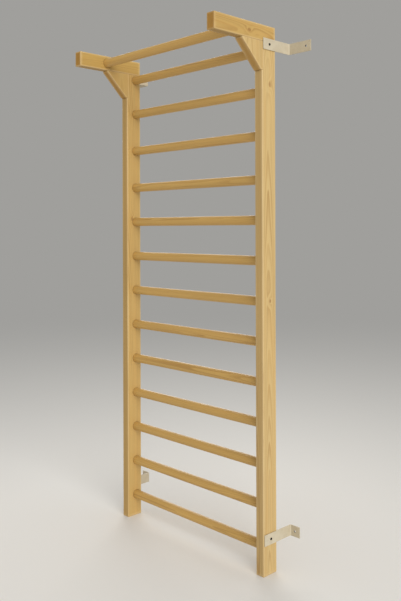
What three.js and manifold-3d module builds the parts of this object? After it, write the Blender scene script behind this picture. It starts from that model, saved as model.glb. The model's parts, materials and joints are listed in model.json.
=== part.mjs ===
// Wall bars: two posts with round rungs between them, a pull-up bar held out on two braced arms, and four
// flat-steel brackets that tie the posts to a wall.
// Millimetres, +Z up, +Y towards the wall, +X to the right of someone who faces the wall.
// The origin lies on the floor, under the middle of the whole object's box.
import * as THREE from "three";
import { RoundedBoxGeometry } from "three/addons/geometries/RoundedBoxGeometry.js";
import { mergeVertices, toCreasedNormals } from "three/addons/utils/BufferGeometryUtils.js";
import Module from "manifold-3d";

// Frame
const HEIGHT = 2200; // floor to the top of the arms
const WIDTH = 900; // across the outer faces of the posts
const POST_W = 40; // thickness of posts, arms and gussets
const POST_D = 80; // depth of the posts, front to back
const WALL_GAP = 88; // from the posts' backs to the wall
const EDGE = 3; // rounding along the edges of the boards
const FIT = 0.3; // gap that two meeting pieces keep

// Rungs and pull-up bar
const RUNG_D = 40;
const TOP_RUNG_GAP = 6; // top rung under the level of the arms' undersides
const RUNG_PITCH = 165;
const WIDE_PITCH = 178; // the pitch of the two wider gaps near the top
const WIDE_GAPS = [2, 3]; // which gaps those are, counted from the top
const FLOOR_ROOM = 60; // least room under the lowest rung
const RUNG_SETBACK = 10; // rung axis behind the middle of the posts
const BAR_D = 40;
const BAR_REACH = 120; // bar axis in front of the posts
const SPIGOT_D = 30; // turned-down end that sits in a socket
const SPIGOT_L = 22;
const SPIGOT_CHAMFER = 2;

// Arms and gussets
const ARM_REACH = 270; // how far the arms stand out in front of the posts
const ARM_H = 66;
const TENON_W = 14; // stub tenon on top of each post
const TENON_D = 50;
const TENON_H = 40;
const GUSSET_LEG = 114; // along the arm and along the post
const GUSSET_NOSE = 6; // blunt ends of the sloping face
const GUSSET_HOUSING = 6; // depth that the gusset is let into the post
const DOWEL_D = 10;
const DOWEL_L = 30;
const DOWEL_CHAMFER = 1;
const DOWEL_COVER = 15; // wood left past the outer dowels
const DOWEL_WEB = 2; // wood left between crossing dowels

// Wall brackets and their screws
const STRAP_W = 45;
const STRAP_T = 4;
const STRAP_BEND = 4; // inner radius of the bend
const STRAP_EDGE = 0.6; // rounding along the cut edges
const STRAP_SETBACK = 4; // front end of the strap behind the post's front
const TOP_FLANGE = 115; // wall flange, from the post's outer face
const BOTTOM_FLANGE = 50;
const TOP_STRAP_DROP = 8; // middle of the top strap under the post's top
const BOTTOM_STRAP_Z = 145;
const WALL_HOLE_D = 8;
const WALL_HOLE_INSET = 24; // from the end of the flange
const SCREW_D = 5;
const SCREW_HEAD_D = 10;
const SCREW_HEAD_H = 3;
const SCREW_RIM = 1; // straight rim under the domed head
const SCREW_TIP_L = 5;
const SCREW_COVER = 2; // wood left between a screw's tip and the depth of the sockets
const RECESS_L = 5; // cross recess in the head
const RECESS_W = 1.2;
const RECESS_DEPTH = 1.6;

// Steps of round surfaces
const ROUND_STEPS = 32;
const SMALL_STEPS = 16;
const EDGE_STEPS = 2;
const CREASE = 0.6; // radians, beyond which an edge is drawn sharp
const MERGE_TOLERANCE = 1e-3; // vertices this close are one vertex

// Places that follow from the sizes
const OUTER_X = WIDTH / 2;
const INNER_X = OUTER_X - POST_W;
const POST_X = OUTER_X - POST_W / 2;
const DEPTH = ARM_REACH + POST_D + WALL_GAP;
const ARM_FRONT_Y = -DEPTH / 2;
const POST_FRONT_Y = ARM_FRONT_Y + ARM_REACH;
const POST_MID_Y = POST_FRONT_Y + POST_D / 2;
const WALL_Y = POST_FRONT_Y + POST_D + WALL_GAP;
const ARM_BOTTOM_Z = HEIGHT - ARM_H;
const POST_TOP_Z = ARM_BOTTOM_Z - FIT;
const RUNG_Y = POST_MID_Y + RUNG_SETBACK;
const BAR_Y = POST_FRONT_Y - BAR_REACH;
const BAR_Z = HEIGHT - ARM_H / 2;
const HOUSING_Y = POST_FRONT_Y + GUSSET_HOUSING;
const DOWEL_OFFSETS = [
  DOWEL_L / 2 + DOWEL_D + DOWEL_WEB,
  GUSSET_LEG - DOWEL_L / 2 - DOWEL_D / 2 - DOWEL_COVER,
];
const STRAP_INNER_X = OUTER_X + FIT;
const STRAP_OUTER_X = STRAP_INNER_X + STRAP_T;
const TOP_STRAP_Z = POST_TOP_Z - TOP_STRAP_DROP;
const SCREW_GRIP = POST_W - SPIGOT_L - SCREW_COVER;

const PINE = { color: 0xc39f63, roughness: 0.55, metalness: 0 };
const TURNED_PINE = { color: 0xb98f52, roughness: 0.5, metalness: 0 };
const BEECH = { color: 0xc8a274, roughness: 0.7, metalness: 0 };
const CREAM_PAINT = { color: 0xd3c8ab, roughness: 0.45, metalness: 0 };
const BLACK_STEEL = { color: 0x1d1b19, roughness: 0.5, metalness: 0.8 };

const wasm = await Module();
wasm.setup();

const wallBars = new THREE.Group();

// A closed geometry as a solid that can be joined and cut.
function solid(geometry) {
  const bare = geometry.clone();
  bare.deleteAttribute("normal");
  bare.deleteAttribute("uv");
  const merged = mergeVertices(bare, MERGE_TOLERANCE);
  return new wasm.Manifold(
    new wasm.Mesh({
      numProp: 3,
      vertProperties: merged.attributes.position.array,
      triVerts: new Uint32Array(merged.index.array),
    }),
  );
}

function cut(body, tools) {
  return tools.reduce((rest, tool) => rest.subtract(solid(tool)), body);
}

// A finished solid as a geometry, smooth on round faces and sharp at edges.
function geometryOf(body) {
  const { vertProperties, triVerts } = body.getMesh();
  const geometry = new THREE.BufferGeometry();
  geometry.setAttribute("position", new THREE.BufferAttribute(vertProperties, 3));
  geometry.setIndex(new THREE.BufferAttribute(triVerts, 1));
  return toCreasedNormals(geometry, CREASE);
}

function addPiece(name, geometry, finish) {
  const mesh = new THREE.Mesh(geometry, new THREE.MeshStandardMaterial(finish));
  mesh.name = name;
  wallBars.add(mesh);
  return mesh;
}

// The right-hand piece and its mirror image on the left. Names hold SIDE where the side goes.
function addPair(name, geometry, finish) {
  addPiece(name.replace("SIDE", "right"), geometry, finish);
  addPiece(name.replace("SIDE", "left"), geometry, finish).scale.x = -1;
}

function box(sizeX, sizeY, sizeZ, x, y, z) {
  return new THREE.BoxGeometry(sizeX, sizeY, sizeZ).translate(x, y, z);
}

// A board with rounded edges, its middle at x, y and its lower face at z.
function board(sizeX, sizeY, sizeZ, x, y, z) {
  const blank = new RoundedBoxGeometry(sizeX, sizeY, sizeZ, EDGE_STEPS, EDGE);
  return blank.translate(x, y, z + sizeZ / 2);
}

// Round rods along each axis, with their middle at x, y, z.
function rodAlongX(diameter, length, x, y, z, steps) {
  const rod = new THREE.CylinderGeometry(diameter / 2, diameter / 2, length, steps);
  return rod.rotateZ(-Math.PI / 2).translate(x, y, z);
}

function rodAlongY(diameter, length, x, y, z, steps) {
  const rod = new THREE.CylinderGeometry(diameter / 2, diameter / 2, length, steps);
  return rod.translate(x, y, z);
}

function rodAlongZ(diameter, length, x, y, z, steps) {
  const rod = new THREE.CylinderGeometry(diameter / 2, diameter / 2, length, steps);
  return rod.rotateX(Math.PI / 2).translate(x, y, z);
}

// A turned piece along Y, from a list of [radius, place along the axis].
function turned(points, steps) {
  const profile = points.map(([radius, along]) => new THREE.Vector2(radius, along));
  return new THREE.LatheGeometry(profile, steps);
}

// The blind socket in an inner face for the spigot of a rung or bar.
function socket(y, z) {
  const length = SPIGOT_L + FIT;
  return rodAlongX(SPIGOT_D + 2 * FIT, 2 * length, INNER_X, y, z, ROUND_STEPS);
}

// Rung axes from the top down, for as long as there is room above the floor.
function rungHeights() {
  const heights = [];
  let z = ARM_BOTTOM_Z - TOP_RUNG_GAP - RUNG_D / 2;
  while (z - RUNG_D / 2 >= FLOOR_ROOM) {
    heights.push(z);
    z -= WIDE_GAPS.includes(heights.length) ? WIDE_PITCH : RUNG_PITCH;
  }
  return heights;
}

// Dowel places: level ones between gusset and post, upright ones between gusset and arm.
function dowelsIntoPost(diameter, length) {
  return DOWEL_OFFSETS.map((drop) =>
    rodAlongY(diameter, length, POST_X, HOUSING_Y, ARM_BOTTOM_Z - drop, SMALL_STEPS),
  );
}

function dowelsIntoArm(diameter, length) {
  return DOWEL_OFFSETS.map((reach) =>
    rodAlongZ(diameter, length, POST_X, POST_FRONT_Y - reach, ARM_BOTTOM_Z, SMALL_STEPS),
  );
}

const DOWEL_HOLE = [DOWEL_D + 2 * FIT, DOWEL_L + 2 * FIT];

function pilotHole(z) {
  const length = 2 * (SCREW_GRIP + FIT);
  return rodAlongX(SCREW_D + 2 * FIT, length, OUTER_X, POST_MID_Y, z, SMALL_STEPS);
}

function makePosts() {
  const blank = board(POST_W, POST_D, POST_TOP_Z + EDGE, POST_X, POST_MID_Y, 0);
  const overTop = box(2 * POST_W, 2 * POST_D, POST_D, POST_X, POST_MID_Y, POST_TOP_Z + POST_D / 2);
  const root = 2 * EDGE;
  const tenon = board(TENON_W, TENON_D, TENON_H + root, POST_X, POST_MID_Y, POST_TOP_Z - root);
  const housing = box(
    2 * POST_W,
    2 * GUSSET_HOUSING,
    2 * (GUSSET_LEG + FIT),
    POST_X,
    POST_FRONT_Y,
    ARM_BOTTOM_Z,
  );
  const sockets = rungHeights().map((z) => socket(RUNG_Y, z));
  const pilots = [pilotHole(TOP_STRAP_Z), pilotHole(BOTTOM_STRAP_Z)];
  const shoulder = cut(solid(blank), [overTop, housing]);
  const post = cut(shoulder.add(solid(tenon)), [
    ...sockets,
    ...pilots,
    ...dowelsIntoPost(...DOWEL_HOLE),
  ]);
  addPair("SIDE_post", geometryOf(post), PINE);
}

function makeArms() {
  const length = ARM_REACH + POST_D;
  const blank = board(POST_W, length, ARM_H, POST_X, ARM_FRONT_Y + length / 2, ARM_BOTTOM_Z);
  const mortise = box(
    TENON_W + 2 * FIT,
    TENON_D + 2 * FIT,
    2 * TENON_H,
    POST_X,
    POST_MID_Y,
    ARM_BOTTOM_Z,
  );
  const arm = cut(solid(blank), [mortise, socket(BAR_Y, BAR_Z), ...dowelsIntoArm(...DOWEL_HOLE)]);
  addPair("SIDE_arm", geometryOf(arm), PINE);
}

// The open edges are rounded. The two joint faces are sawn off square, so the outline starts out past them.
function makeGussets() {
  const front = POST_FRONT_Y - GUSSET_LEG;
  const foot = ARM_BOTTOM_Z - GUSSET_LEG;
  const back = HOUSING_Y - FIT;
  const spare = 2 * EDGE;
  const outline = new THREE.Shape([
    new THREE.Vector2(front, POST_TOP_Z + spare),
    new THREE.Vector2(front, ARM_BOTTOM_Z - GUSSET_NOSE),
    new THREE.Vector2(POST_FRONT_Y - GUSSET_NOSE, foot),
    new THREE.Vector2(back + spare, foot),
    new THREE.Vector2(back + spare, POST_TOP_Z + spare),
  ]);
  const blank = new THREE.ExtrudeGeometry(outline, {
    depth: POST_W - 2 * EDGE,
    bevelThickness: EDGE,
    bevelSize: EDGE,
    bevelOffset: -EDGE,
    bevelSegments: EDGE_STEPS,
  });
  // The outline is drawn in y and z, and its thickness runs along x.
  const outlineToYZ = new THREE.Matrix4().makeBasis(
    new THREE.Vector3(0, 1, 0),
    new THREE.Vector3(0, 0, 1),
    new THREE.Vector3(1, 0, 0),
  );
  blank.applyMatrix4(outlineToYZ).translate(INNER_X + EDGE, 0, 0);
  const reach = 4 * GUSSET_LEG;
  const gusset = cut(solid(blank), [
    box(2 * POST_W, reach, 2 * spare, POST_X, POST_FRONT_Y, POST_TOP_Z + spare),
    box(2 * POST_W, 2 * spare, reach, POST_X, back + spare, POST_TOP_Z),
    ...dowelsIntoPost(...DOWEL_HOLE),
    ...dowelsIntoArm(...DOWEL_HOLE),
  ]);
  addPair("SIDE_gusset", geometryOf(gusset), PINE);
}

function makeDowels() {
  const end = DOWEL_L / 2;
  const radius = DOWEL_D / 2;
  const shape = turned(
    [
      [0, -end],
      [radius - DOWEL_CHAMFER, -end],
      [radius, DOWEL_CHAMFER - end],
      [radius, end - DOWEL_CHAMFER],
      [radius - DOWEL_CHAMFER, end],
      [0, end],
    ],
    SMALL_STEPS,
  );
  DOWEL_OFFSETS.forEach((offset, index) => {
    const level = shape.clone().translate(POST_X, HOUSING_Y, ARM_BOTTOM_Z - offset);
    const upright = shape.clone().rotateX(Math.PI / 2);
    upright.translate(POST_X, POST_FRONT_Y - offset, ARM_BOTTOM_Z);
    addPair(`SIDE_gusset_post_dowel_${index + 1}`, level, BEECH);
    addPair(`SIDE_gusset_arm_dowel_${index + 1}`, upright, BEECH);
  });
}

// A rung or bar between the inner faces, with a spigot at each end.
function turnedBar(diameter) {
  const shoulder = INNER_X - FIT;
  const end = INNER_X + SPIGOT_L;
  const radius = SPIGOT_D / 2;
  const half = [
    [diameter / 2, shoulder],
    [radius, shoulder],
    [radius, end - SPIGOT_CHAMFER],
    [radius - SPIGOT_CHAMFER, end],
    [0, end],
  ];
  const mirrored = half.map(([r, along]) => [r, -along]).reverse();
  return turned([...mirrored, ...half], ROUND_STEPS).rotateZ(Math.PI / 2);
}

function makeRungs() {
  rungHeights().forEach((z, index) => {
    const number = String(index + 1).padStart(2, "0");
    const rung = turnedBar(RUNG_D).translate(0, RUNG_Y, z);
    addPiece(`rung_${number}`, rung, TURNED_PINE);
  });
}

function makePullUpBar() {
  addPiece("pull_up_bar", turnedBar(BAR_D).translate(0, BAR_Y, BAR_Z), TURNED_PINE);
}

// A flat strap bent once: a leg along the post's outer face and a flange along the wall.
function strap(flange, z) {
  const front = POST_FRONT_Y + STRAP_SETBACK;
  const tip = OUTER_X + flange;
  const bendX = STRAP_OUTER_X + STRAP_BEND;
  const bendY = WALL_Y - STRAP_T - STRAP_BEND;
  const outline = new THREE.Shape();
  outline.moveTo(STRAP_INNER_X, front);
  outline.lineTo(STRAP_OUTER_X, front);
  outline.absarc(bendX, bendY, STRAP_BEND, Math.PI, Math.PI / 2, true);
  outline.lineTo(tip, WALL_Y - STRAP_T);
  outline.lineTo(tip, WALL_Y);
  outline.absarc(bendX, bendY, STRAP_BEND + STRAP_T, Math.PI / 2, Math.PI);
  const blank = new THREE.ExtrudeGeometry(outline, {
    depth: STRAP_W - 2 * STRAP_EDGE,
    curveSegments: 2 * EDGE_STEPS,
    bevelThickness: STRAP_EDGE,
    bevelSize: STRAP_EDGE,
    bevelOffset: -STRAP_EDGE,
    bevelSegments: 1,
  }).translate(0, 0, z - STRAP_W / 2 + STRAP_EDGE);
  const across = 4 * STRAP_T;
  const holeX = tip - WALL_HOLE_INSET;
  return cut(solid(blank), [
    rodAlongX(SCREW_D + 2 * FIT, across, STRAP_OUTER_X, POST_MID_Y, z, SMALL_STEPS),
    rodAlongY(WALL_HOLE_D, across, holeX, WALL_Y, z, SMALL_STEPS),
  ]);
}

// A pan-head wood screw with a cross recess, driven into the post from outside.
function screw(z) {
  const radius = SCREW_D / 2;
  const headRadius = SCREW_HEAD_D / 2;
  const shank = STRAP_T + 2 * FIT + SCREW_GRIP;
  const body = turned(
    [
      [0, -shank],
      [radius, SCREW_TIP_L - shank],
      [radius, 0],
      [headRadius, 0],
      [headRadius, SCREW_RIM],
      [headRadius - SCREW_RIM, SCREW_HEAD_H - SCREW_RIM / 2],
      [headRadius - 2 * SCREW_RIM, SCREW_HEAD_H],
      [0, SCREW_HEAD_H],
    ],
    SMALL_STEPS,
  );
  const recess = [
    box(RECESS_L, 2 * RECESS_DEPTH, RECESS_W, 0, SCREW_HEAD_H, 0),
    box(RECESS_W, 2 * RECESS_DEPTH, RECESS_L, 0, SCREW_HEAD_H, 0),
  ];
  const geometry = geometryOf(cut(solid(body), recess));
  return geometry.rotateZ(-Math.PI / 2).translate(STRAP_OUTER_X + FIT, POST_MID_Y, z);
}

function makeBrackets() {
  const levels = [
    ["top", TOP_FLANGE, TOP_STRAP_Z],
    ["bottom", BOTTOM_FLANGE, BOTTOM_STRAP_Z],
  ];
  for (const [level, flange, z] of levels) {
    addPair(`${level}_SIDE_bracket`, geometryOf(strap(flange, z)), CREAM_PAINT);
    addPair(`${level}_SIDE_bracket_screw`, screw(z), BLACK_STEEL);
  }
}

makePosts();
makeArms();
makeGussets();
makeDowels();
makeRungs();
makePullUpBar();
makeBrackets();

export default wallBars;
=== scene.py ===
# Wall bars in varnished pine: the looks of the posts, rungs, braced arms, pull-up bar and painted brackets.
# Metres, +Z up, +Y towards the wall, +X to the right of someone who faces the wall.
import bisect
import json
import math

import bmesh
import bpy
from mathutils import Matrix, Vector, noise

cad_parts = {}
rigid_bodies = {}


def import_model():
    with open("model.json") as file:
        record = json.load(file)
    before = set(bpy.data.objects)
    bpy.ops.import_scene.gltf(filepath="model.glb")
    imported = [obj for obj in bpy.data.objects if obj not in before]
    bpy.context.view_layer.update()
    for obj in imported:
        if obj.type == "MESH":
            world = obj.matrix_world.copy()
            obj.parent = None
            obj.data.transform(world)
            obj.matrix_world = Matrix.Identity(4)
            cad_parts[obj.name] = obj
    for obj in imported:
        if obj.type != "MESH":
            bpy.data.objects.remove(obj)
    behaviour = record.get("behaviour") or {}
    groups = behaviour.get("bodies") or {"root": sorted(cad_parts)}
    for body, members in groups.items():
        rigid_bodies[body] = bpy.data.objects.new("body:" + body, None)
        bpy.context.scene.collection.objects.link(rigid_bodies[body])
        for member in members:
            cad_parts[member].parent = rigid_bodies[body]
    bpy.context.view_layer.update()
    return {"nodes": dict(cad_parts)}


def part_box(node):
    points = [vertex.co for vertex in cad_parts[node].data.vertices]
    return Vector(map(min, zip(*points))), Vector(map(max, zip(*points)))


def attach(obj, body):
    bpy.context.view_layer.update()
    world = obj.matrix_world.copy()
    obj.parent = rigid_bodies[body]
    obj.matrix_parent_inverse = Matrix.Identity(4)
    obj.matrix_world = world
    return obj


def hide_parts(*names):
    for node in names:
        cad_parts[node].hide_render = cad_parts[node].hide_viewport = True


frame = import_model()

X, Y, Z = Vector((1, 0, 0)), Vector((0, 1, 0)), Vector((0, 0, 1))

# Boards
FIT = 0.0003  # gap that two meeting pieces keep
BOARD_STEP = 0.012  # from one section of a board to the next
EDGE = 0.003  # rounding along the edges
END_EDGE = 0.0024  # rounding round the ends of posts and arms
JOINT_EDGE = 0.0003  # rounding left where a board is sawn square for a joint
EDGE_STEPS = 4  # facets across a rounded edge
WORN_STRIP = 0.005  # strip beside an edge over which the wear fades
EDGE_WEAR = 0.4  # share by which handling changes the rounding along an edge
WEAR_WAVES = ((0.65, 3.0, 0.0), (0.5, 16.0, 4.7))  # (share, waves per metre, start in the noise)
EDGE_APART = 9.1  # from one edge of a board to the next, in the noise
POST_SEED, ARM_SEED = 3.0, 6.0
GUSSET_NOSE = 0.006  # blunt ends of a gusset's sloping face
GUSSET_STRIP = 0.0025  # its worn strip, narrow enough for the blunt ends

# Turned bars: the rungs and the pull-up bar
BAR_STEP = 0.018  # from one section of a bar to the next
BAR_FACETS = 64
SHOULDER_EASE = 0.0007  # rounding of a bar's shoulders
EASE_MIDDLE = 0.3  # how far in the middle of that rounding lies, as a share of it
SPIGOT_R = 0.015
SPIGOT_CHAMFER = 0.002
TURNING_WAVE = 0.00015  # how far a bar strays from a true cylinder
TURNING_WAVES = 9  # of these per metre
BAR_APART = 7.0  # from one bar to the next, in the noise
BAR_TURN = 2.4  # angle of the grain from one bar to the next
BAR_PITH = 0.034  # from the pith to the middle of the nearest bars
BAR_PITH_STEP, BAR_PITH_COUNT = 0.006, 4  # how that distance changes from bar to bar
BAR_LEAN, BAR_LEAN_TURN = 0.014, 1.7  # the bars' largest lean, and how it changes from bar to bar
BAR_TRUNK = 1.5  # up the trunk from one bar to the next

# Pine. The first rows give features per metre, twice across the grain and once along it
FIBRES = (620.0, 620.0, 9.0)
STREAKS = (75.0, 75.0, 1.1)
CLOUDS = (9.0, 9.0, 2.6)
RING_WAVER = (38.0, 38.0, 2.2)
PITH_BENDS = (0.0, 0.0, 1.7)
GOOD_YEARS = (95.0, 1.0, 1.0)  # by the distance from the pith alone
PITH_SWAY = 0.011  # how far the pith bends to each side
RING_WIDTH = 0.0036  # from one growth ring to the next
KNOT_SQUEEZE = 0.6  # width of a knot against its length
KNOT_FADE, KNOT_PUSH = 1.8, 1.6  # how far and how much a knot bends the rings, in its radii
KNOT_RIM, KNOT_CORE = 1.2, 0.5  # where its dark disc starts and where it is full, in its radii
JOINT_SHADE_WIDTH = 0.004  # painted shade: a dark line where a bar enters a board
LATE_SHARE, HEART_SHARE, KNOT_SHARE, WORN_AND_LIT_SHARE, JOINT_SHADE_SHARE = 0.65, 0.35, 0.5, 0.5, 0.28
DARKEST = 0.745  # brightness without what fibres, streaks and clouds add
FIBRE_LIGHT, STREAK_LIGHT, CLOUD_LIGHT = 0.20, 0.20, 0.16
VARNISH_ROUGHNESS, STREAK_ROUGHNESS, END_ROUGHNESS = 0.40, 0.14, 0.15
VARNISH_SPECULAR = 0.3
LATE_RELIEF = 0.6  # height of the late wood against the fibres
GRAIN_DEPTH = 0.00012

# Beech, paint and steel surfaces, with features per metre along x, y and z
BEECH_FLECKS = (500.0, 160.0, 160.0)
BEECH_CLOUDS = (40.0, 40.0, 40.0)
BEECH_ROUGHNESS, BEECH_ROUGHNESS_SPREAD = 0.6, 0.15
BEECH_DEPTH = 0.0001
PAINT_CLOUDS = (30.0, 30.0, 30.0)
ORANGE_PEEL = (650.0, 650.0, 650.0)
CHIPS = (240.0, 240.0, 240.0)
EDGE_CHIPPING = 0.2  # how much sooner the paint chips at an edge
PAINT_ROUGHNESS, PAINT_ROUGHNESS_SPREAD = 0.36, 0.16
PEEL_DEPTH = 0.00005
GRIT = (1400.0, 1400.0, 1400.0)
GRIT_DEPTH = 0.00003
RUBBED_SHARE = 0.5
STEEL_METALLIC = 0.7
DRILLED_ROUGHNESS, BLACKENED_ROUGHNESS, STEEL_ROUGHNESS_SPREAD = 0.5, 0.35, 0.25

# Straps
STRAP_T = 0.004
STRAP_BEND = 0.004  # inner radius of the bend
STRAP_STEP = 0.006  # from one section of a strap to the next
BEND_STEPS = 10
STRAP_EDGE = 0.0008  # rounding of the edges
STRAP_LEAST_EDGE = 0.00016  # what is left of it on the end faces
STRAP_WORN_STRIP = 0.0011  # strip on the end faces over which the wear fades
STRAP_SIDE_STRIP = 0.00024  # the same beside the long edges
SCREW_HOLE_D = 0.0056
WALL_HOLE_D = 0.008
WALL_HOLE_INSET = 0.024  # from the end of the wall flange
HOLE_BURR = 0.0005  # chamfer round a hole

# Screws
LATHE_FACETS = 40
SCREW_D = 0.005
SCREW_TIP_L = 0.005
SCREW_HEAD_D = 0.010
SCREW_HEAD_H = 0.003
SCREW_RIM = 0.0009  # straight rim under the domed head
DOME_STEPS = 8
POINT_R = 0.0002  # the smallest radius on a screw
RECESS_L = 0.0052  # cross recess in the head
RECESS_W = 0.0012
RECESS_DEPTH = 0.0016
RECESS_TAPER = 0.6  # length of the recess's floor against its mouth

# Meshes
WELD = 0.000005  # points closer than this are one
SHARP = math.radians(40)  # edges beyond this angle are drawn sharp
MAP_MARGIN = 0.015  # in the maps for baking, as a share of a strip
END_BAND = 0.10  # share of such a map that holds the end faces

# Floor and light
FLOOR_R = 30.0
FLOOR_FACETS = 96
FLOOR_ROUGHNESS, FLOOR_SPECULAR = 0.8, 0.2
FADE_START, FADE_END = 0.9, 9.0  # where the floor runs out into the backdrop, from its middle
AMBIENT = 0.53  # even light from all round
AMBIENT_COLOUR = (1.0, 0.985, 0.96, 1.0)
LIGHT_COLOUR = (1.0, 0.97, 0.92)
LIGHT_ANGLE = math.radians(40)  # width of a lamp in the sky, which softens the shadows
KEY_STRENGTH = 2.05
KEY_FROM = Vector((0.87, -0.37, 0.32))  # towards the main lamp
FILL_STRENGTH = 1.2
FILL_FROM = Vector((-0.70, 0.64, 0.32))  # towards the lamp that lights the far side

# Camera, from the photo's perspective, for a picture of 401 by 601 pixels
PICTURE_HEIGHT = 601
HORIZON_ROW = 228.5
FOCAL_PIXELS = 735.3
SENSOR = 36.0  # millimetres along the picture's height
CAMERA_PLACE = (2.378, -2.157, 1.389)
CAMERA_YAW = math.radians(45.96)
CAMERA_ROLL = math.radians(0.18)


def srgb(red, green, blue):
    """A colour written in screen values, as the linear values that shaders take."""
    def linear(value):
        share = value / 255
        return share / 12.92 if share <= 0.04045 else ((share + 0.055) / 1.055) ** 2.4
    return (linear(red), linear(green), linear(blue), 1.0)


PALE_PINE = srgb(200, 173, 119)
WARM_PINE = srgb(191, 160, 99)
DEEP_PINE = srgb(189, 156, 92)
AMBER_PINE = srgb(183, 150, 83)
RUNG_PINE = srgb(197, 160, 92)
LATE_WOOD = srgb(158, 118, 64)
HEART_WOOD = srgb(185, 144, 80)
# pale edges: worn wood with a painted highlight
WORN_AND_LIT_WOOD = srgb(214, 190, 144)
KNOT_WOOD = srgb(132, 86, 44)
# colour of the painted shade where a bar meets a board
JOINT_SHADE_WOOD = srgb(88, 60, 34)
END_GRAIN = srgb(232, 213, 175)  # multiplies the wood's colour, as the next one does
# darkens the faces that cut the rings square: partly their own tone, partly painted shade
EDGE_GRAIN_SHADE = srgb(240, 236, 230)
BEECH_PALE = srgb(206, 170, 128)
BEECH_DARK = srgb(178, 138, 96)
PAINT_PALE = srgb(197, 187, 164)
PAINT_DULL = srgb(190, 179, 155)
BARE_STEEL = srgb(64, 58, 51)
BLACK_STEEL = srgb(24, 22, 21)
RUBBED_STEEL = srgb(58, 54, 50)
FLOOR_PALE = srgb(234, 233, 230)
BACKDROP = srgb(160, 159, 156)


class Graph:
    """The nodes of a material or a world, with a short call for each kind that is used here."""

    def __init__(self, owner):
        owner.use_nodes = True
        self.owner = owner
        self.nodes = owner.node_tree.nodes
        self.links = owner.node_tree.links
        self.shader = self.nodes.get("Principled BSDF")

    def feed(self, socket, value):
        if isinstance(value, bpy.types.NodeSocket):
            self.links.new(value, socket)
        else:
            socket.default_value = value

    def add(self, kind, inputs, **settings):
        node = self.nodes.new("ShaderNode" + kind)
        for setting, value in settings.items():
            setattr(node, setting, value)
        for place, value in inputs.items():
            self.feed(node.inputs[place], value)
        return node

    def math(self, operation, first, second=0.0, third=0.0):
        return self.add("Math", {0: first, 1: second, 2: third}, operation=operation).outputs[0]

    def vector(self, operation, first, second=(0, 0, 0), third=(0, 0, 0)):
        node = self.add("VectorMath", {0: first, 1: second, 2: third}, operation=operation)
        return node.outputs["Value" if operation in ("LENGTH", "DOT_PRODUCT") else "Vector"]

    def noise(self, place, stretch, detail=2.0, rough=0.5, output="Fac"):
        """Noise whose features are 1 / stretch metres long along each axis."""
        scaled = self.vector("MULTIPLY", place, stretch)
        inputs = {"Vector": scaled, "Scale": 1.0, "Detail": detail, "Roughness": rough}
        return self.add("TexNoise", inputs).outputs[output]

    def ease(self, value, low, high):
        """Rises smoothly from 0 at low to 1 at high, which may be the smaller one."""
        inputs = {"Value": value, "From Min": low, "From Max": high}
        return self.add("MapRange", inputs, interpolation_type="SMOOTHSTEP").outputs["Result"]

    def mix(self, share, first, second, blend="MIX"):
        node = self.add("Mix", {0: share, 6: first, 7: second}, data_type="RGBA", blend_type=blend)
        return node.outputs[2]

    def attribute(self, name, output="Fac"):
        return self.add("Attribute", {}, attribute_name=name).outputs[output]

    def object_place(self):
        return self.add("TexCoord", {}).outputs["Object"]

    def facing(self, direction):
        """How squarely the surface faces a direction, from -1 to 1."""
        normal = self.add("NewGeometry", {}).outputs["Normal"]
        return self.vector("DOT_PRODUCT", normal, direction)

    def seen(self):
        """1 where the eye looks, straight, by reflection or through glass, and 0 where light is gathered."""
        paths = self.add("LightPath", {}).outputs
        direct = self.math("MAXIMUM", paths["Is Camera Ray"], paths["Is Glossy Ray"])
        return self.math("MAXIMUM", direct, paths["Is Transmission Ray"])

    def finish(self, colour, roughness, height, depth):
        """Feeds the shader, with height as bumps that are depth metres high, and gives the material."""
        bump = self.add("Bump", {"Strength": 1.0, "Distance": depth, "Height": height})
        self.feed(self.shader.inputs["Base Color"], colour)
        self.feed(self.shader.inputs["Roughness"], roughness)
        self.feed(self.shader.inputs["Normal"], bump.outputs["Normal"])
        return self.owner

    def finish_blend(self, share, first, second, output):
        """Feeds a mixture of two shaders to an output node."""
        mixture = self.add("MixShader", {0: share, 1: first, 2: second})
        self.links.new(mixture.outputs[0], self.nodes[output].inputs["Surface"])


def new_material(name):
    return Graph(bpy.data.materials.new(name))


def knot_pattern(graph, side, length, knots):
    """Closeness to the knots, as a push on the rings round them and as their own dark discs."""
    push, disc = 0.0, 0.0
    for knot_side, knot_length, radius in knots:
        off_side = graph.math("SUBTRACT", side, knot_side)
        off_length = graph.math("MULTIPLY", graph.math("SUBTRACT", length, knot_length), KNOT_SQUEEZE)
        off = graph.vector("LENGTH", graph.add("CombineXYZ", {0: off_side, 1: off_length}).outputs[0])
        fade = graph.math("EXPONENT", graph.math("DIVIDE", off, -KNOT_FADE * radius))
        push = graph.math("MULTIPLY_ADD", fade, KNOT_PUSH * radius, push)
        disc = graph.math("MAXIMUM", disc, graph.ease(off, KNOT_RIM * radius, KNOT_CORE * radius))
    return push, disc


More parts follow.
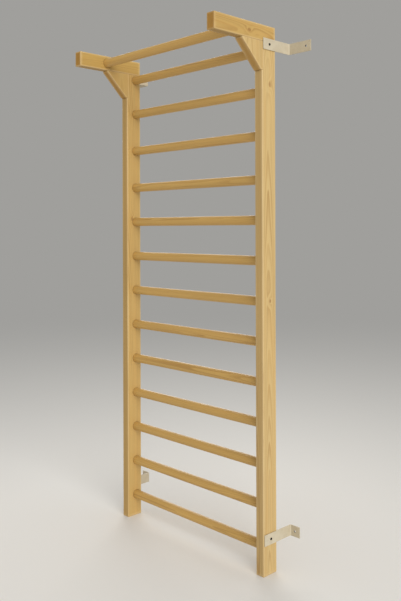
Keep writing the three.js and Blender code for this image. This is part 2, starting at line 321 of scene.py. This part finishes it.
def growth_rings(graph, grain, knots):
    """The share of dark late wood, and the knots, at a place in the tree."""
    tree = graph.add("SeparateXYZ", {0: grain}).outputs
    push, knot = knot_pattern(graph, tree[1], tree[2], knots)
    bend = graph.noise(grain, PITH_BENDS, 1.0, output="Color")
    sway = (PITH_SWAY, PITH_SWAY, 0.0)
    bend = graph.vector("MULTIPLY_ADD", bend, [2 * reach for reach in sway], [-reach for reach in sway])
    radial = graph.vector("MULTIPLY", graph.vector("ADD", grain, bend), (1.0, 1.0, 0.0))
    distance = graph.math("ADD", graph.vector("LENGTH", radial), push)
    waver = graph.noise(grain, RING_WAVER)
    season = graph.math("FRACT", graph.math("MULTIPLY_ADD", distance, 1 / RING_WIDTH, waver))
    late = graph.math("MULTIPLY", graph.ease(season, 0.25, 0.86), graph.ease(season, 1.0, 0.93))
    good_years = graph.noise(graph.add("CombineXYZ", {0: distance}).outputs[0], GOOD_YEARS, 1.0)
    return graph.math("MULTIPLY", late, graph.ease(good_years, 0.2, 0.75)), knot


def socket_shade(graph, place, sockets, inward, radius):
    """Painted shade: the thin dark line round each bar where it enters an inner face."""
    nearest = 1.0
    for y, z in sockets:
        off = graph.vector("MULTIPLY", graph.vector("SUBTRACT", place, (0, y, z)), (0, 1, 1))
        nearest = graph.math("MINIMUM", nearest, graph.vector("LENGTH", off))
    ring = graph.ease(nearest, radius + JOINT_SHADE_WIDTH, radius)
    return graph.math("MULTIPLY", ring, graph.ease(graph.facing(inward), 0.5, 0.9))


def shoulder_shade(graph, place, shoulder):
    """The same painted shade on the bars, at their two shoulders."""
    off = graph.math("ABSOLUTE", graph.add("SeparateXYZ", {0: place}).outputs[0])
    return graph.ease(off, shoulder - JOINT_SHADE_WIDTH, shoulder)


def pine(name, early, along, edge_faces=None, knots=(), joint_shade=None):
    """Varnished pine whose grain attribute gives each point its place in the tree.

    early is the colour of the pale wood, along the direction of the grain, edge_faces the direction of the
    faces that cut the rings square, knots are (side, length, radius) in the tree, and the last argument gives
    the share of painted shade where a bar meets a board, from the graph and a place.
    """
    graph = new_material(name)
    grain = graph.attribute("grain", "Vector")
    late, knot = growth_rings(graph, grain, knots)
    fibre = graph.noise(grain, FIBRES, 4.0, 0.68)
    streak = graph.noise(grain, STREAKS)
    cloud = graph.noise(grain, CLOUDS)

    colour = graph.mix(graph.math("MULTIPLY", late, LATE_SHARE), early, LATE_WOOD)
    heart = graph.math("MULTIPLY", graph.ease(streak, 0.45, 0.75), HEART_SHARE)
    colour = graph.mix(heart, colour, HEART_WOOD)
    value = graph.math("MULTIPLY_ADD", fibre, FIBRE_LIGHT, DARKEST)
    value = graph.math("MULTIPLY_ADD", streak, STREAK_LIGHT, value)
    value = graph.math("MULTIPLY_ADD", cloud, CLOUD_LIGHT, value)
    colour = graph.add("HueSaturation", {"Value": value, "Color": colour}).outputs[0]
    colour = graph.mix(graph.math("MULTIPLY", knot, KNOT_SHARE), colour, KNOT_WOOD)
    end = graph.ease(graph.math("ABSOLUTE", graph.facing(along)), 0.2, 0.8)
    colour = graph.mix(end, colour, END_GRAIN, "MULTIPLY")
    # faces that cut the rings square drawn darker: partly the wood's own tone there, partly painted shade on
    # those faces
    if edge_faces:
        edge = graph.ease(graph.math("ABSOLUTE", graph.facing(edge_faces)), 0.6, 0.98)
        colour = graph.mix(edge, colour, EDGE_GRAIN_SHADE, "MULTIPLY")
    # pale rounded edges: worn varnish, and a painted highlight where the edges catch the light
    worn = graph.math("MULTIPLY", graph.attribute("wear"), graph.ease(cloud, 0.1, 0.6))
    colour = graph.mix(graph.math("MULTIPLY", worn, WORN_AND_LIT_SHARE), colour, WORN_AND_LIT_WOOD)
    # painted shade: the wood darkened where a bar meets a board
    if joint_shade:
        painted_shade = graph.math("MULTIPLY", joint_shade(graph, graph.object_place()), JOINT_SHADE_SHARE)
        colour = graph.mix(painted_shade, colour, JOINT_SHADE_WOOD)

    roughness = graph.math("MULTIPLY_ADD", streak, STREAK_ROUGHNESS, VARNISH_ROUGHNESS)
    roughness = graph.math("MULTIPLY_ADD", end, END_ROUGHNESS, roughness)
    height = graph.math("MULTIPLY_ADD", late, LATE_RELIEF, fibre)
    graph.shader.inputs["Specular IOR Level"].default_value = VARNISH_SPECULAR
    return graph.finish(colour, roughness, height, GRAIN_DEPTH)


def beech(name):
    """Bare beech with short dark flecks, for the dowels."""
    graph = new_material(name)
    place = graph.object_place()
    fleck = graph.noise(place, BEECH_FLECKS, 3.0)
    cloud = graph.noise(place, BEECH_CLOUDS)
    colour = graph.mix(graph.ease(fleck, 0.45, 0.75), BEECH_PALE, BEECH_DARK)
    roughness = graph.math("MULTIPLY_ADD", cloud, BEECH_ROUGHNESS_SPREAD, BEECH_ROUGHNESS)
    return graph.finish(colour, roughness, fleck, BEECH_DEPTH)


def cream_paint(name):
    """Satin paint on flat steel: faint mottling, an orange-peel skin, and small chips along the cut edges."""
    graph = new_material(name)
    place = graph.object_place()
    cloud = graph.noise(place, PAINT_CLOUDS, 3.0)
    peel = graph.noise(place, ORANGE_PEEL, 1.0)
    chip = graph.noise(place, CHIPS, 3.0)
    bare = graph.ease(graph.math("MULTIPLY_ADD", graph.attribute("wear"), EDGE_CHIPPING, chip), 0.9, 0.97)
    colour = graph.mix(graph.ease(cloud, 0.35, 0.7), PAINT_PALE, PAINT_DULL)
    colour = graph.mix(bare, colour, BARE_STEEL)
    roughness = graph.math("MULTIPLY_ADD", cloud, PAINT_ROUGHNESS_SPREAD, PAINT_ROUGHNESS)
    return graph.finish(colour, roughness, graph.math("SUBTRACT", peel, bare), PEEL_DEPTH)


def dark_steel(name, dark, roughness):
    """Oxidised steel, rubbed paler on worn edges and in fine grit."""
    graph = new_material(name)
    grit = graph.noise(graph.object_place(), GRIT)
    rubbed = graph.math("ADD", graph.attribute("wear"), graph.ease(grit, 0.4, 0.8))
    colour = graph.mix(graph.math("MULTIPLY", rubbed, RUBBED_SHARE), dark, RUBBED_STEEL)
    graph.shader.inputs["Metallic"].default_value = STEEL_METALLIC
    roughness = graph.math("MULTIPLY_ADD", grit, STEEL_ROUGHNESS_SPREAD, roughness)
    return graph.finish(colour, roughness, grit, GRIT_DEPTH)


def add_mesh(name, points, faces, wear):
    """A new object with a wear value at each point."""
    mesh = bpy.data.meshes.new(name)
    mesh.from_pydata(points, [], faces)
    mesh.attributes.new("wear", "FLOAT", "POINT").data.foreach_set("value", wear)
    shell = bmesh.new()
    shell.from_mesh(mesh)
    bmesh.ops.recalc_face_normals(shell, faces=shell.faces)
    shell.to_mesh(mesh)
    shell.free()
    made = bpy.data.objects.new(name, mesh)
    bpy.context.scene.collection.objects.link(made)
    return made


def loft(name, rings, wear):
    """A closed skin through rings of equally many points, with a flat face at each end."""
    count = len(rings[0])
    points = [point for ring in rings for point in ring]
    faces = [tuple(range(count)), tuple(range(len(points) - count, len(points)))]
    for near in range(0, len(points) - count, count):
        for step in range(count):
            after = (step + 1) % count
            faces.append((near + step, near + after, near + count + after, near + count + step))
    return add_mesh(name, points, faces, [value for ring in wear for value in ring])


def running_lengths(points):
    """How far along a line through the points each of them lies."""
    lengths = [0.0]
    for near, far in zip(points, points[1:]):
        lengths.append(lengths[-1] + (Vector(far) - Vector(near)).length)
    return lengths


def lay_map(piece, rings):
    """A map for baking a long loft: its skin in strips side by side, so that they nearly fill a square, and
    its two end faces in a band above them."""
    count = len(rings[0])
    lengths = running_lengths([ring[0] for ring in rings])
    girdle = rings[len(rings) // 2]
    girth = running_lengths([*girdle, girdle[0]])
    strips = round(math.sqrt(lengths[-1] / girth[-1]))
    cuts = [bisect.bisect(lengths, lengths[-1] * strip / strips) - 1 for strip in range(strips + 1)]
    layer = piece.data.uv_layers.new(name="OFBake")
    for face in piece.data.polygons:
        corners = [divmod(vertex, count) for vertex in face.vertices]
        near = min(ring for ring, _ in corners)
        if near == max(ring for ring, _ in corners):
            spots = end_face_spots(piece, face, 0.0 if near == 0 else 0.5)
        else:
            strip = min(bisect.bisect(cuts, near), strips) - 1
            low, high = lengths[cuts[strip]], lengths[cuts[strip + 1]]
            seam = max(step for _, step in corners) - min(step for _, step in corners) > 1
            spots = []
            for ring, step in corners:
                round_share = girth[count if seam and step == 0 else step] / girth[-1]
                along_share = (lengths[ring] - low) / (high - low)
                spots.append(((strip + MAP_MARGIN + round_share * (1 - 2 * MAP_MARGIN)) / strips,
                              (MAP_MARGIN + along_share * (1 - 2 * MAP_MARGIN)) * (1 - END_BAND)))
        for loop, spot in zip(face.loop_indices, spots):
            layer.data[loop].uv = spot


def end_face_spots(piece, face, left):
    """The places of an end face's corners in its half of the map's top band."""
    first = face.normal.orthogonal().normalized()
    second = face.normal.cross(first)
    flat = [Vector((corner.dot(first), corner.dot(second)))
            for corner in (piece.data.vertices[vertex].co for vertex in face.vertices)]
    low = Vector((min(spot.x for spot in flat), min(spot.y for spot in flat)))
    size = max(max(spot.y for spot in flat) - low.y, max(spot.x for spot in flat) - low.x)
    scale = END_BAND * (1 - 2 * MAP_MARGIN) / size
    corner = Vector((left + MAP_MARGIN, 1 - END_BAND * (1 - MAP_MARGIN)))
    return [corner + scale * (spot - low) for spot in flat]


def carve(piece, cutters, materials):
    """Cuts the cutters out of a piece and removes them. The cut faces get the last of the materials."""
    for part in [piece] + cutters:
        for material in materials:
            part.data.materials.append(material)
    for cutter in cutters:
        cutter.data.polygons.foreach_set("material_index", [len(materials) - 1] * len(cutter.data.polygons))
        piece.modifiers.new("cut", "BOOLEAN").object = cutter
    shapes = bpy.context.evaluated_depsgraph_get()
    piece.data = bpy.data.meshes.new_from_object(piece.evaluated_get(shapes))
    piece.modifiers.clear()
    for cutter in cutters:
        bpy.data.objects.remove(cutter)


def weld(piece):
    """Joins points that lie on each other, so that no face is left without area."""
    shell = bmesh.new()
    shell.from_mesh(piece.data)
    bmesh.ops.remove_doubles(shell, verts=shell.verts, dist=WELD)
    bmesh.ops.dissolve_degenerate(shell, edges=shell.edges, dist=WELD)
    shell.to_mesh(piece.data)
    shell.free()


def dress(piece, node):
    """Shading and place of a piece that stands for a CAD node."""
    weld(piece)
    piece.data.shade_smooth()
    piece.data.set_sharp_from_angle(angle=SHARP)
    piece.modifiers.new("even_shading", "WEIGHTED_NORMAL").keep_sharp = True
    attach(piece, "root")
    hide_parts(node)


class Cut:
    """How a board was sawn from its tree.

    The grain runs along it, across points away from the pith, pith is where the board's middle lies from the
    pith (across, sideways), lean is how fast the board moves away from the pith, and start is how far up the
    trunk its middle lies.
    """

    def __init__(self, along, across, pith, lean, start):
        self.along, self.across, self.side = along, across, along.cross(across)
        self.pith, self.lean, self.start = pith, lean, start

    def lay_grain(self, piece, centre):
        """Gives each point of a piece its place in the tree."""
        places = []
        for vertex in piece.data.vertices:
            offset = vertex.co - centre
            length = offset.dot(self.along)
            places += [offset.dot(self.across) + self.pith[0] + self.lean * length,
                       offset.dot(self.side) + self.pith[1], length + self.start]
        piece.data.attributes.new("grain", "FLOAT_VECTOR", "POINT").data.foreach_set("vector", places)

    def knots(self, knots):
        """Knots given by (side, length, radius) from the board's middle, as places in the tree."""
        return [(side + self.pith[1], length + self.start, radius) for side, length, radius in knots]


def section(low, high, radii, strip):
    """A rectangle with rounded corners, counter-clockwise: (place, wear) for each point. A strip on both
    sides of each corner takes up the fading of its wear."""
    corners = ((high[0], high[1]), (low[0], high[1]), (low[0], low[1]), (high[0], low[1]))
    outward = ((1, 1), (-1, 1), (-1, -1), (1, -1))
    places = []
    for quarter, radius in enumerate(radii):
        centre = Vector(corners[quarter]) - radius * Vector(outward[quarter])
        turns = [math.pi / 2 * (quarter + step / EDGE_STEPS) for step in range(EDGE_STEPS + 1)]
        arc = [centre + radius * Vector((math.cos(turn), math.sin(turn))) for turn in turns]
        before = Vector((-math.sin(turns[0]), math.cos(turns[0])))
        after = Vector((-math.sin(turns[-1]), math.cos(turns[-1])))
        places.append((arc[0] - strip * before, 0.0))
        places += [(point, 1.0) for point in arc]
        places.append((arc[-1] + strip * after, 0.0))
    return places


def end_rings(edge, strip):
    """How a section closes round a rounded end, from the end inwards: (depth, draw-in, wear all round)."""
    turns = [math.pi / 2 * step / EDGE_STEPS for step in range(EDGE_STEPS, -1, -1)]
    arc = [(edge * (1 - math.sin(turn)), edge * (1 - math.cos(turn)), 1.0) for turn in turns]
    return [(0.0, edge + strip, 0.0)] + arc


def square_end(strip):
    """The same for an end that is sawn square."""
    return [(0.0, strip, 0.0), (0.0, 0.0, None)]


def stations(start, end, step, first_rings, last_rings):
    """Places along a piece, each with its draw-in and wear, between the rings that close its two ends. Where
    the wear is None, it is that of the section."""
    head = [(start + depth, inset, wear) for depth, inset, wear in first_rings] or [(start, 0.0, None)]
    tail = [(end - depth, inset, wear) for depth, inset, wear in reversed(last_rings)] or [(end, 0.0, None)]
    first = head[-1][0]
    reach = tail[0][0] - first
    count = max(1, round(reach / step))
    return head + [(first + reach * index / count, 0.0, None) for index in range(1, count)] + tail


def ring_wear(corners, wear):
    """The wear at each point of a section: its own, unless the whole ring has one."""
    return [own if wear is None else wear for _, own in corners]


def worn_radius(edge, along, seed):
    """The rounding of one edge of a board, at a place along it."""
    change = sum(share * noise.noise((edge * EDGE_APART + start, along * waves, seed))
                 for share, waves, start in WEAR_WAVES)
    return EDGE * (1 + EDGE_WEAR * change)


def board_rings(axis, low, high, places, seed, square=()):
    """Rings of a board along an axis. square names the edges that are sawn for a joint."""
    first, second = (axis + 1) % 3, (axis + 2) % 3
    rings, wear = [], []
    for along, inset, end_wear in places:
        radii = []
        for edge in range(4):
            radius = JOINT_EDGE if edge in square else worn_radius(edge, along, seed)
            radii.append(max(radius - inset, JOINT_EDGE))
        drawn_low = (low[first] + inset, low[second] + inset)
        drawn_high = (high[first] - inset, high[second] - inset)
        corners = section(drawn_low, drawn_high, radii, WORN_STRIP)
        ring = []
        for place, _ in corners:
            point = Vector()
            point[axis], point[first], point[second] = along, place.x, place.y
            ring.append(point)
        rings.append(ring)
        wear.append(ring_wear(corners, end_wear))
    return rings, wear


def middle(box):
    return (box[0] + box[1]) / 2


rung_nodes = sorted(node for node in frame["nodes"] if node.startswith("rung_"))
rung_places = [middle(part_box(node)) for node in rung_nodes]
rung_sockets = [(place.y, place.z) for place in rung_places]
bar_place = middle(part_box("pull_up_bar"))
rung_radius = (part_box("rung_01")[1].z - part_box("rung_01")[0].z) / 2
inner_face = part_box("right_post")[0].x


def finish_board(piece, node, early, cut, knots, sockets, inward):
    """Grain, varnish and place of a post or an arm, with painted shade round the bars in its inward face."""
    def joint_shade(graph, place):
        return socket_shade(graph, place, sockets, inward, rung_radius)
    cut.lay_grain(piece, middle(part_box(node)))
    piece.data.materials.append(pine(piece.name, early, cut.along, cut.side, cut.knots(knots), joint_shade))
    dress(piece, node)


def make_post(side, sign, early, cut, knots):
    """An upright, housed at its upper front for the gusset and square under the arm."""
    node = f"{side}_post"
    low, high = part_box(node)
    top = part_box(f"{side}_arm")[0].z - FIT
    gusset_low, gusset_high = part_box(f"{side}_gusset")
    housing_z = gusset_low.z - FIT
    housed = Vector((low.x, gusset_high.y + FIT, low.z))
    lower = stations(low.z, housing_z, BOARD_STEP, end_rings(END_EDGE, WORN_STRIP), [])
    upper = stations(housing_z, top, BOARD_STEP, [], square_end(WORN_STRIP))
    rings, wear = board_rings(2, low, high, lower, POST_SEED + sign)
    upper_rings, upper_wear = board_rings(2, housed, high, upper, POST_SEED + sign, square=(2, 3))
    piece = loft(f"{node}_pine", rings + upper_rings, wear + upper_wear)
    lay_map(piece, rings + upper_rings)
    finish_board(piece, node, early, cut, knots, rung_sockets, -sign * X)


def make_arm(side, sign, early, cut, knots):
    """The board on top of a post, rounded all round."""
    node = f"{side}_arm"
    low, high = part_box(node)
    ends = end_rings(END_EDGE, WORN_STRIP)
    rings, wear = board_rings(1, low, high, stations(low.y, high.y, BOARD_STEP, ends, ends), ARM_SEED + sign)
    piece = loft(f"{node}_pine", rings, wear)
    lay_map(piece, rings)
    finish_board(piece, node, early, cut, knots, [(bar_place.y, bar_place.z)], -sign * X)


def meeting_point(first, second):
    """Where two lines cross, each a (point, direction) in a plane."""
    (start, along), (other, across) = first, second
    gap = other - start
    share = (gap.x * across.y - gap.y * across.x) / (along.x * across.y - along.y * across.x)
    return start + share * along


def gusset_outline(low, high, post_front, inset):
    """The gusset in y and z, drawn in from its open edges, and at the flat cap also from its joints."""
    joint = max(0.0, inset - EDGE)
    front, foot = low.y + inset, low.z + inset
    slope_low = Vector((post_front - GUSSET_NOSE, low.z))
    slope_high = Vector((low.y, high.z - GUSSET_NOSE))
    slope = (slope_high - slope_low).normalized()
    inward = Vector((slope.y, -slope.x))
    lines = [
        (Vector((front, high.z - joint)), Vector((1, 0))),
        (Vector((front, foot)), Vector((0, 1))),
        (slope_low + inset * inward, slope),
        (Vector((front, foot)), Vector((1, 0))),
        (Vector((high.y - joint, foot)), Vector((0, 1))),
    ]
    return [meeting_point(lines[index - 1], lines[index]) for index in range(len(lines))]


def make_gusset(side, early, cut):
    """The triangular block under an arm: its open edges rounded, its joint faces sawn square."""
    node = f"{side}_gusset"
    low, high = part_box(node)
    post_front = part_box(f"{side}_post")[0].y
    ends = end_rings(EDGE, GUSSET_STRIP)
    rings, wear = [], []
    for x, inset, end_wear in stations(low.x, high.x, BOARD_STEP, ends, ends):
        outline = gusset_outline(low, high, post_front, inset)
        rings.append([Vector((x, point.x, point.y)) for point in outline])
        wear.append([end_wear or 0.0] * len(outline))
    piece = loft(f"{node}_pine", rings, wear)
    cut.lay_grain(piece, middle((low, high)))
    piece.data.materials.append(pine(piece.name, early, cut.along))
    dress(piece, node)


def bar_profile(radius, end):
    """A turned bar from its left end to its right end: (radius, x), with a spigot at each end."""
    shoulder = inner_face - FIT
    eased = EASE_MIDDLE * SHOULDER_EASE
    right_end = [
        (SPIGOT_R - SPIGOT_CHAMFER, end),
        (SPIGOT_R, end - SPIGOT_CHAMFER),
        (SPIGOT_R, shoulder),
        (radius - SHOULDER_EASE, shoulder),
        (radius - eased, shoulder - eased),
        (radius, shoulder - SHOULDER_EASE),
    ]
    count = round(2 * shoulder / BAR_STEP)
    body = [(radius, shoulder * (2 * step / count - 1)) for step in range(1, count)]
    return [(r, -x) for r, x in right_end] + body + right_end[::-1]


def bar_cut(index):
    """How the bar of that number was sawn, a little differently from the others."""
    turn = BAR_TURN * index
    across = math.cos(turn) * Y + math.sin(turn) * Z
    pith = (BAR_PITH + BAR_PITH_STEP * (index % BAR_PITH_COUNT), 0.0)
    return Cut(X, across, pith, BAR_LEAN * math.sin(BAR_LEAN_TURN * index), BAR_TRUNK * index)


def make_turned_bar(node, wood, index):
    """A rung or the pull-up bar, not quite true."""
    low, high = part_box(node)
    centre = middle((low, high))
    rings = []
    for radius, x in bar_profile((high.z - low.z) / 2, high.x):
        ring = []
        for step in range(BAR_FACETS):
            turn = 2 * math.pi * step / BAR_FACETS
            place = (x * TURNING_WAVES, math.cos(turn) + index * BAR_APART, math.sin(turn))
            worn = radius - TURNING_WAVE * (0.5 + 0.5 * noise.noise(place))
            ring.append((x, centre.y + worn * math.cos(turn), centre.z + worn * math.sin(turn)))
        rings.append(ring)
    piece = loft(f"{node}_turned", rings, [[0.0] * BAR_FACETS] * len(rings))
    lay_map(piece, rings)
    bar_cut(index).lay_grain(piece, centre)
    piece.data.materials.append(wood)
    dress(piece, node)


def strap_path(tip, front, back):
    """The middle line of a bent strap in x and y: (place, direction to the open side, draw-in, wear)."""
    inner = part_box("top_right_bracket")[0].x
    bend = Vector((inner + STRAP_T + STRAP_BEND, back - STRAP_T - STRAP_BEND))
    ends = end_rings(STRAP_EDGE, STRAP_WORN_STRIP)
    path = []
    for y, inset, wear in stations(front, bend.y, STRAP_STEP, ends, []):
        path.append((Vector((inner + STRAP_T / 2, y)), Vector((1, 0)), inset, wear))
    for step in range(1, BEND_STEPS):
        turn = math.pi - math.pi / 2 * step / BEND_STEPS
        outward = Vector((math.cos(turn), math.sin(turn)))
        path.append((bend + (STRAP_BEND + STRAP_T / 2) * outward, -outward, 0.0, None))
    for x, inset, wear in stations(bend.x, tip, STRAP_STEP, [], ends):
        path.append((Vector((x, back - STRAP_T / 2)), Vector((0, -1)), inset, wear))
    return path


def turned(name, start, direction, profile, wear):
    """A lathe-turned shape along a direction, from a list of (radius, distance from start)."""
    first = direction.orthogonal().normalized()
    second = direction.cross(first)
    rings = []
    for radius, along in profile:
        ring = []
        for step in range(LATHE_FACETS):
            turn = 2 * math.pi * step / LATHE_FACETS
            spoke = radius * (math.cos(turn) * first + math.sin(turn) * second)
            ring.append(start + along * direction + spoke)
        rings.append(ring)
    return loft(name, rings, [[value] * LATHE_FACETS for value in wear])


def hole_cutter(start, direction, radius):
    """A drill through a strap whose near face holds start, which also breaks the edges of the hole."""
    wide = radius + 2 * HOLE_BURR
    profile = [(wide, -HOLE_BURR), (radius, HOLE_BURR)]
    profile += [(radius, STRAP_T - HOLE_BURR), (wide, STRAP_T + HOLE_BURR)]
    return turned("drill", start, direction, profile, [0.0] * len(profile))


def make_strap(level, side, sign, paint, bare):
    """A flat strap bent once, with a screw hole in the post leg and an open hole in the wall flange."""
    node = f"{level}_{side}_bracket"
    low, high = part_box(f"{level}_right_bracket")
    centre_z = (low.z + high.z) / 2
    half_t, half_w = STRAP_T / 2, (high.z - low.z) / 2
    rings, wear = [], []
    for place, across, inset, end_wear in strap_path(high.x, low.y, high.y):
        radii = [max(STRAP_EDGE - inset, STRAP_LEAST_EDGE)] * 4
        drawn = Vector((half_t - inset, half_w - inset))
        corners = section(-drawn, drawn, radii, STRAP_SIDE_STRIP)
        ring = []
        for corner, _ in corners:
            flat = place + corner.x * across
            ring.append(Vector((sign * flat.x, flat.y, centre_z + corner.y)))
        rings.append(ring)
        wear.append(ring_wear(corners, end_wear))
    piece = loft(f"{node}_strap", rings, wear)
    post_y = middle(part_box(f"{side}_post")).y
    screw_at = Vector((sign * low.x, post_y, centre_z))
    wall_at = Vector((sign * (high.x - WALL_HOLE_INSET), high.y - STRAP_T, centre_z))
    drills = [hole_cutter(screw_at, sign * X, SCREW_HOLE_D / 2), hole_cutter(wall_at, Y, WALL_HOLE_D / 2)]
    carve(piece, drills, [paint, bare])
    dress(piece, node)


def recess_cutter(start, direction):
    """A tapered cross, sunk from the top of a screw's head."""
    rings = []
    for share, depth in ((1.0, -RECESS_DEPTH), (1.0, 0.0), (RECESS_TAPER, RECESS_DEPTH)):
        length, width = share * RECESS_L / 2, RECESS_W / 2
        corners = ((length, -width), (length, width), (width, width))
        ring = []
        for arm, wing in ((Y, Z), (Z, -Y), (-Y, -Z), (-Z, Y)):
            ring += [start - depth * direction + out * arm + aside * wing for out, aside in corners]
        rings.append(ring)
    return loft("recess", rings, [[0.0] * len(ring) for ring in rings])


def make_screw(level, side, sign, steel):
    """A pan-head screw with a cross recess, driven into the post from outside."""
    node = f"{level}_{side}_bracket_screw"
    low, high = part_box(node)
    centre = middle((low, high))
    tip, top = (low.x, high.x) if sign > 0 else (high.x, low.x)
    length = high.x - low.x
    head = length - SCREW_HEAD_H
    radius = SCREW_HEAD_D / 2
    profile = [(POINT_R, 0.0), (SCREW_D / 2, SCREW_TIP_L), (SCREW_D / 2, head), (radius - POINT_R, head)]
    wear = [0.0] * len(profile)
    profile += [(radius, head + POINT_R), (radius, head + SCREW_RIM)]
    wear += [1.0, 1.0]
    for step in range(1, DOME_STEPS):
        turn = math.pi / 2 * step / DOME_STEPS
        rise = (SCREW_HEAD_H - SCREW_RIM) * math.sin(turn)
        profile.append((radius * math.cos(turn), head + SCREW_RIM + rise))
        wear.append(1 - step / DOME_STEPS)
    profile.append((POINT_R, length))
    wear.append(0.0)
    piece = turned(f"{node}_steel", Vector((tip, centre.y, centre.z)), sign * X, profile, wear)
    mouth = Vector((top, centre.y, centre.z))
    carve(piece, [recess_cutter(mouth, sign * X)], [steel])
    dress(piece, node)


def make_boards():
    """Each board has its own colour, cut and knots."""
    make_post("right", 1, PALE_PINE, Cut(Z, X, pith=(0.030, 0.002), lean=0.022, start=0.0),
              [(0.006, 0.88, 0.007), (0.004, 0.01, 0.006)])
    make_post("left", -1, WARM_PINE, Cut(Z, X, pith=(0.052, 0.047), lean=0.012, start=6.0),
              [(-0.012, 0.35, 0.007)])
    make_arm("right", 1, DEEP_PINE, Cut(Y, X, pith=(0.034, -0.012), lean=0.030, start=11.0),
             [(0.003, 0.02, 0.007)])
    make_arm("left", -1, AMBER_PINE, Cut(Y, X, pith=(0.046, 0.030), lean=0.020, start=14.0), [])
    make_gusset("right", PALE_PINE, Cut(Z, X, pith=(0.040, 0.022), lean=0.02, start=17.0))
    make_gusset("left", WARM_PINE, Cut(Z, X, pith=(0.047, -0.025), lean=0.03, start=19.0))


def make_rungs():
    """The rungs and the pull-up bar, all of one wood."""
    # painted shade where the bars enter the posts, at their shoulders
    def joint_shade(graph, place):
        return shoulder_shade(graph, place, inner_face)
    wood = pine("pine_turned", RUNG_PINE, X, joint_shade=joint_shade)
    for index, node in enumerate(rung_nodes + ["pull_up_bar"], start=1):
        make_turned_bar(node, wood, index)


def make_brackets():
    """The four straps and the screws that hold them to the posts."""
    paint = cream_paint("cream_paint")
    bare = dark_steel("drilled_steel", BARE_STEEL, DRILLED_ROUGHNESS)
    steel = dark_steel("blackened_steel", BLACK_STEEL, BLACKENED_ROUGHNESS)
    for level in ("top", "bottom"):
        for side, sign in (("right", 1), ("left", -1)):
            make_strap(level, side, sign, paint, bare)
            make_screw(level, side, sign, steel)


def finish_dowels():
    """The dowels lie inside the joints and keep their solids' mesh."""
    wood = beech("beech")
    for node in frame["nodes"]:
        if "dowel" in node:
            for slot in bpy.data.objects[node].material_slots:
                slot.material = wood


def make_floor():
    """A pale floor that keeps the shadow and runs out into the backdrop, with no horizon line."""
    disc = bmesh.new()
    bmesh.ops.create_circle(disc, cap_ends=True, segments=FLOOR_FACETS, radius=FLOOR_R)
    mesh = bpy.data.meshes.new("floor")
    disc.to_mesh(mesh)
    disc.free()
    floor = bpy.data.objects.new("floor", mesh)
    bpy.context.scene.collection.objects.link(floor)
    graph = new_material("floor_pale")
    graph.shader.inputs["Base Color"].default_value = FLOOR_PALE
    graph.shader.inputs["Roughness"].default_value = FLOOR_ROUGHNESS
    graph.shader.inputs["Specular IOR Level"].default_value = FLOOR_SPECULAR
    distance = graph.math("LOGARITHM", graph.vector("LENGTH", graph.object_place()), math.e)
    fade = graph.ease(distance, math.log(FADE_START), math.log(FADE_END))
    far = graph.add("Emission", {"Color": BACKDROP, "Strength": 1.0}).outputs[0]
    share = graph.math("MULTIPLY", fade, graph.seen())
    graph.finish_blend(share, graph.shader.outputs[0], far, "Material Output")
    mesh.materials.append(graph.owner)


def add_lamp(name, strength, towards):
    """A lamp so far off that its light comes from one direction, but wide enough for soft shadows."""
    lamp = bpy.data.lights.new(name, "SUN")
    lamp.energy = strength
    lamp.angle = LIGHT_ANGLE
    lamp.color = LIGHT_COLOUR
    placed = bpy.data.objects.new(name, lamp)
    placed.rotation_euler = towards.to_track_quat("Z", "Y").to_euler()
    bpy.context.scene.collection.objects.link(placed)


def light_scene():
    """Even light from all round, a soft lamp from the right, and a weaker one from behind on the left."""
    scene = bpy.context.scene
    scene.view_settings.view_transform = "Standard"
    scene.world = bpy.data.worlds.new("studio")
    graph = Graph(scene.world)
    backdrop = graph.nodes["Background"]
    backdrop.inputs["Color"].default_value = BACKDROP
    ambient = graph.add("Background", {"Color": AMBIENT_COLOUR, "Strength": AMBIENT})
    graph.finish_blend(graph.seen(), ambient.outputs[0], backdrop.outputs[0], "World Output")
    add_lamp("key", KEY_STRENGTH, KEY_FROM)
    add_lamp("fill", FILL_STRENGTH, FILL_FROM)


def place_camera():
    """A level camera in front on the right, at head height, with the horizon above the picture's middle."""
    data = bpy.data.cameras.new("camera")
    data.sensor_width = SENSOR
    data.lens = FOCAL_PIXELS * SENSOR / PICTURE_HEIGHT
    data.shift_y = (HORIZON_ROW - PICTURE_HEIGHT / 2) / PICTURE_HEIGHT
    camera = bpy.data.objects.new("camera", data)
    level = Matrix.Rotation(CAMERA_YAW, 4, "Z") @ Matrix.Rotation(math.pi / 2, 4, "X")
    camera.matrix_world = Matrix.Translation(CAMERA_PLACE) @ level @ Matrix.Rotation(-CAMERA_ROLL, 4, "Z")
    bpy.context.scene.collection.objects.link(camera)
    bpy.context.scene.camera = camera


make_boards()
make_rungs()
make_brackets()
finish_dowels()
make_floor()
light_scene()
place_camera()

bpy.context.view_layer.update()
